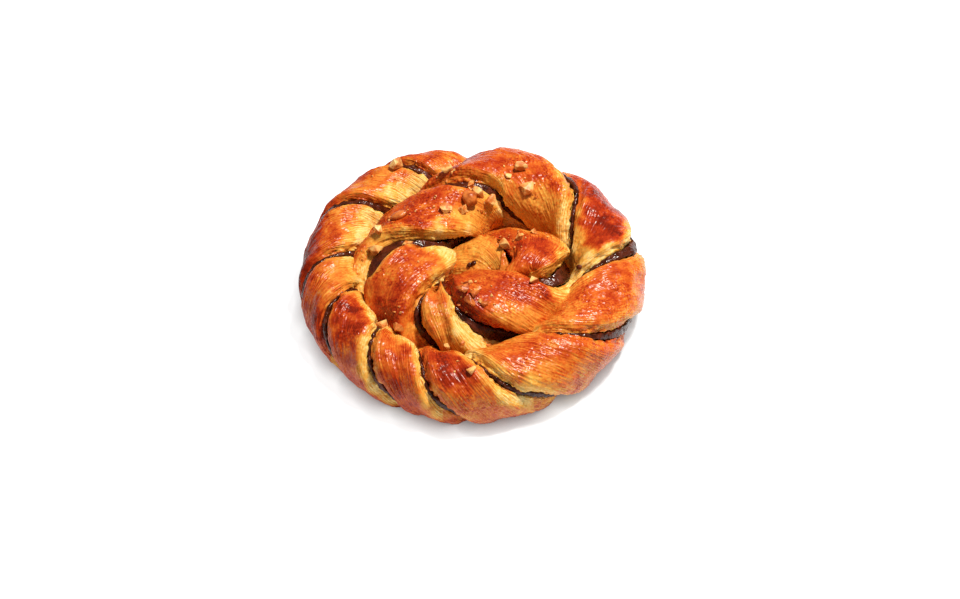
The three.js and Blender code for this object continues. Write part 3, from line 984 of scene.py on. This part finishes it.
# %% Hazelnut materials
NUT_PATCHES = 330.0
NUT_GRAIN = 1900.0
PALE_UP_TO = 0.4
GOLD_FROM = 0.56


def nut_material(name, pale, gold, roughness):
    material, shader, start = new_material(name)
    place = start.node("ShaderNodeTexCoord", output=3)
    patches = noise_at(start, place, NUT_PATCHES, 3.0, 0.6)
    grit = noise_at(start, place, NUT_GRAIN, 2.0, 0.5)
    stops = [(PALE_UP_TO, pale), (GOLD_FROM, gold)]
    colour = start.node("ShaderNodeValToRGB", {"stops": stops}, {"Fac": patches})
    connect(colour, shader.inputs["Base Color"])
    connect(roughness + grit * 0.2, shader.inputs["Roughness"])
    bump = start.node("ShaderNodeBump", {}, {"Strength": 0.4, "Distance": 0.0002, "Height": grit})
    connect(bump, shader.inputs["Normal"])
    return material


nut_inside = nut_material("hazelnut", linear(241, 190, 112), linear(206, 112, 40), 0.35)
nut_glazed = nut_material("hazelnut_glazed", linear(214, 118, 48), linear(158, 66, 18), 0.2)
print(nut_inside.name, nut_glazed.name)

# %% Dress the pieces and hide the parts they stand for
def finish_piece(piece, material, node):
    piece.data.materials.append(material)
    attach(piece, "root")
    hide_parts(node)


for piece in strands + [core]:
    finish_piece(piece, crust, "dough")
finish_piece(nuts, nut_inside, "dough")
finish_piece(crumbs, nut_inside, "dough")
finish_piece(halves, nut_glazed, "dough")
finish_piece(ribbon, chocolate, "chocolate")
finish_piece(beads, chocolate, "chocolate")

# %% [markdown]
# ## Floor, light and camera
# The pastry lies on a white table, lit by a lamp high behind it on the right, and the room fills the
# shadows. In the photo the table is almost pure white up to a narrow soft shadow where the pastry touches
# it. A lamp strong enough for that would bleach the crust, so the table glows a little by itself. The glow
# follows how open the table is to the room above it, so it fades in the few millimetres beside the pastry,
# and that fade is a painted contact shadow.

# %% Floor
FLOOR_HALF = 3.0
TABLE_COLOUR = (0.34, 0.38, 0.41, 1)
GLOW = 0.9
SHADOW_REACH = 0.0055


def floor():
    corners = [(x * FLOOR_HALF, y * FLOOR_HALF, 0) for x, y in ((-1, -1), (1, -1), (1, 1), (-1, 1))]
    mesh = bpy.data.meshes.new("floor")
    mesh.from_pydata(corners, [], [(0, 1, 2, 3)])
    made = bpy.data.objects.new("floor", mesh)
    bpy.context.scene.collection.objects.link(made)
    material, shader, start = new_material("table")
    shader.inputs["Base Color"].default_value = TABLE_COLOUR
    shader.inputs["Roughness"].default_value = 0.9
    reach = {"Distance": SHADOW_REACH}
    # Painted contact shadow: the table's glow is dimmed where the pastry hides the room above it.
    glow_and_painted_shadow = start.node("ShaderNodeAmbientOcclusion", {"samples": 8}, reach, output=1)
    connect(glow_and_painted_shadow, shader.inputs["Emission Color"])
    shader.inputs["Emission Strength"].default_value = GLOW
    mesh.materials.append(material)
    return made


print(floor().name, "glows up to", GLOW)

# %% Light
LAMP_PLACE = (0.24, 0.11, 0.74)
LAMP_SIZE = 0.13
LAMP_WATTS = 8.7
WARM_WHITE = (1, 0.95, 0.88)
ROOM_STRENGTH = 0.22


def lamp(name, place, size, power, colour):
    """A round lamp that faces the pastry."""
    light = bpy.data.lights.new(name, "AREA")
    light.energy = power
    light.shape = "DISK"
    light.size = size
    light.color = colour
    made = bpy.data.objects.new(name, light)
    made.location = place
    made.rotation_euler = Vector(place).to_track_quat("Z", "Y").to_euler()
    bpy.context.scene.collection.objects.link(made)
    return made


def room():
    """Even light from all round."""
    world = bpy.data.worlds.new("room")
    world.use_nodes = True
    background = world.node_tree.nodes["Background"]
    background.inputs["Color"].default_value = (*WARM_WHITE, 1)
    background.inputs["Strength"].default_value = ROOM_STRENGTH
    bpy.context.scene.world = world


key = lamp("key", LAMP_PLACE, LAMP_SIZE, LAMP_WATTS, WARM_WHITE)
room()
bpy.context.scene.view_settings.view_transform = "Standard"
print(f"{key.name} lamp {key.location.length:.2f} m away")

# %% Camera
ELEVATION = math.radians(48)
LENS = 120.0
SENSOR = 36.0
IMAGE_WIDTH = 960
IMAGE_HEIGHT = 599
PIXELS_PER_MM = 3.11
ORIGIN_PIXEL = (472.5, 302.4)


def camera():
    lens = bpy.data.cameras.new("camera")
    lens.lens = LENS
    lens.sensor_width = SENSOR
    lens.clip_end = 10.0
    back = Vector((0, -math.cos(ELEVATION), math.sin(ELEVATION)))
    right = Vector((1, 0, 0))
    up = back.cross(right)
    metres_per_pixel = MM / PIXELS_PER_MM
    distance = IMAGE_WIDTH * metres_per_pixel * LENS / SENSOR
    aim = right * (IMAGE_WIDTH / 2 - ORIGIN_PIXEL[0]) + up * (ORIGIN_PIXEL[1] - IMAGE_HEIGHT / 2)
    made = bpy.data.objects.new("camera", lens)
    made.location = aim * metres_per_pixel + back * distance
    made.rotation_euler = back.to_track_quat("Z", "Y").to_euler()
    bpy.context.scene.collection.objects.link(made)
    bpy.context.scene.camera = made
    return distance


print(f"camera {camera():.3f} m away")
